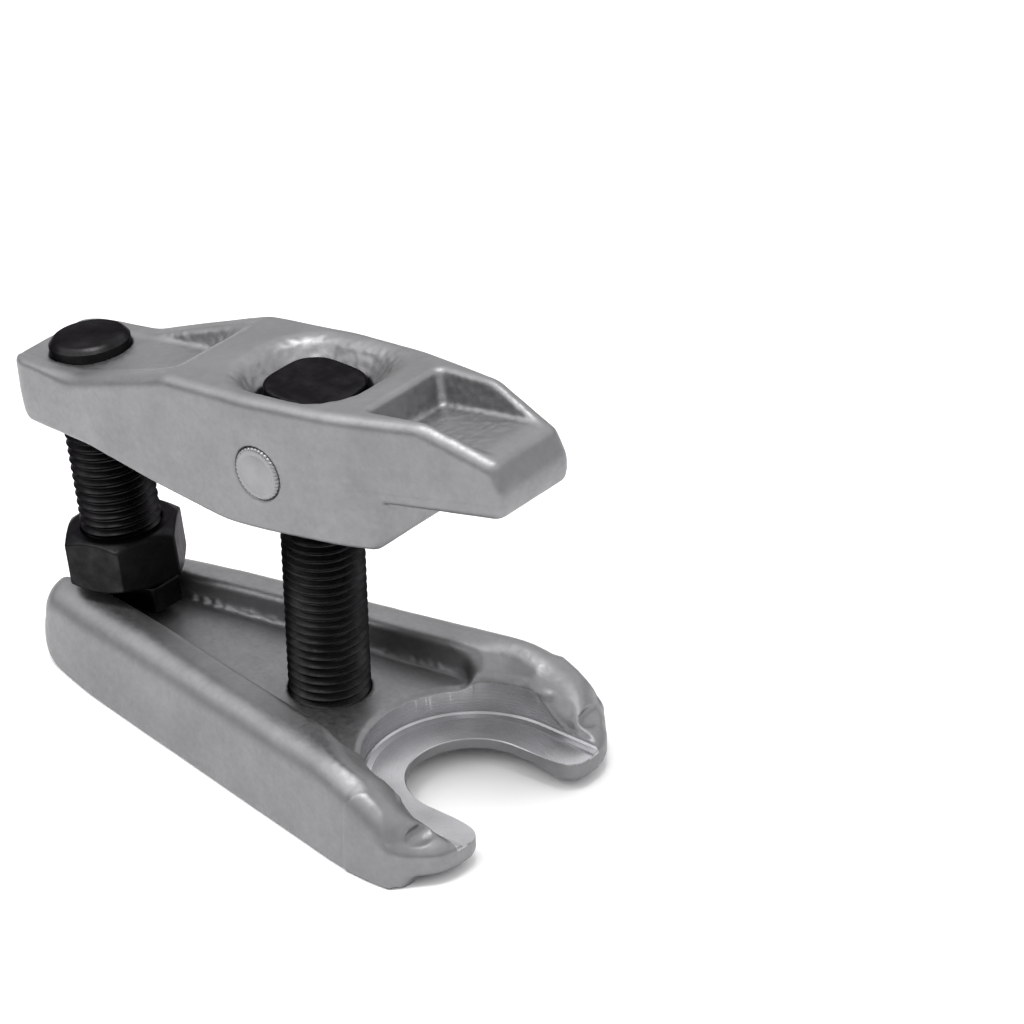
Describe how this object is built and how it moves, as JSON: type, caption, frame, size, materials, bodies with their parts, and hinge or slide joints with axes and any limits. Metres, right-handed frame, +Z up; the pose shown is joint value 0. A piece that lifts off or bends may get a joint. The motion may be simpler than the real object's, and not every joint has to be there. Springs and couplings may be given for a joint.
{
  "type": "ball joint separator",
  "caption": "Lever-type ball joint separator: forged fork with an open turned seat, rocker lever on a height-setting screw, and a hex-driven pressure screw at the rear.",
  "frame": {"origin": "on the surface the fork stands on, under the centre of the whole tool's bounding box", "axes": "+X along the tool towards the fork's mouth and the lever's nose, +Z up, +Y to the left when facing +X"},
  "size_m": [0.1723, 0.09, 0.1191],
  "materials": {
    "forged_steel": "blasted satin grey forging, bright turned seat",
    "black_steel": "black oxide, lightly oiled",
    "pin_steel": "plain ground steel"
  },
  "bodies": {
    "fork": {"lower_fork": "forged_steel"},
    "fulcrum": {"fulcrum_screw": "black_steel"},
    "lever": {"upper_lever": "forged_steel", "cross_pin": "pin_steel"},
    "foot": {"spindle_foot": "black_steel", "thrust_ball": "pin_steel", "foot_retaining_ring": "pin_steel"},
    "spindle": {"pressure_spindle": "black_steel", "drive_nut": "black_steel"}
  },
  "joints": [
    {"name": "fulcrum_height", "type": "slide", "parent": "fork", "child": "fulcrum", "axis": [0, 0, 1], "range_m": [0, 0.005]},
    {"name": "lever_tilt", "type": "hinge", "parent": "fulcrum", "child": "lever", "pos_m": [0.012, 0, 0.092], "axis": [0, -1, 0], "range_deg": [-7.54, 0]},
    {"name": "spindle_feed", "type": "slide", "parent": "lever", "child": "foot", "axis": [-0.1323, 0, 0.9912], "range_m": [-0.01, 0]},
    {"name": "spindle_turn", "type": "hinge", "parent": "foot", "child": "spindle", "pos_m": [-0.0671, 0, 0.08145], "axis": [-0.1323, 0, 0.9912], "range_deg": [-1440, 0]}
  ],
  "couplings": [
    {"joint": "spindle_feed", "follows": "lever_tilt", "m_per_rad": 0.076},
    {"joint": "spindle_turn", "follows": "lever_tilt", "ratio": 191.01}
  ]
}
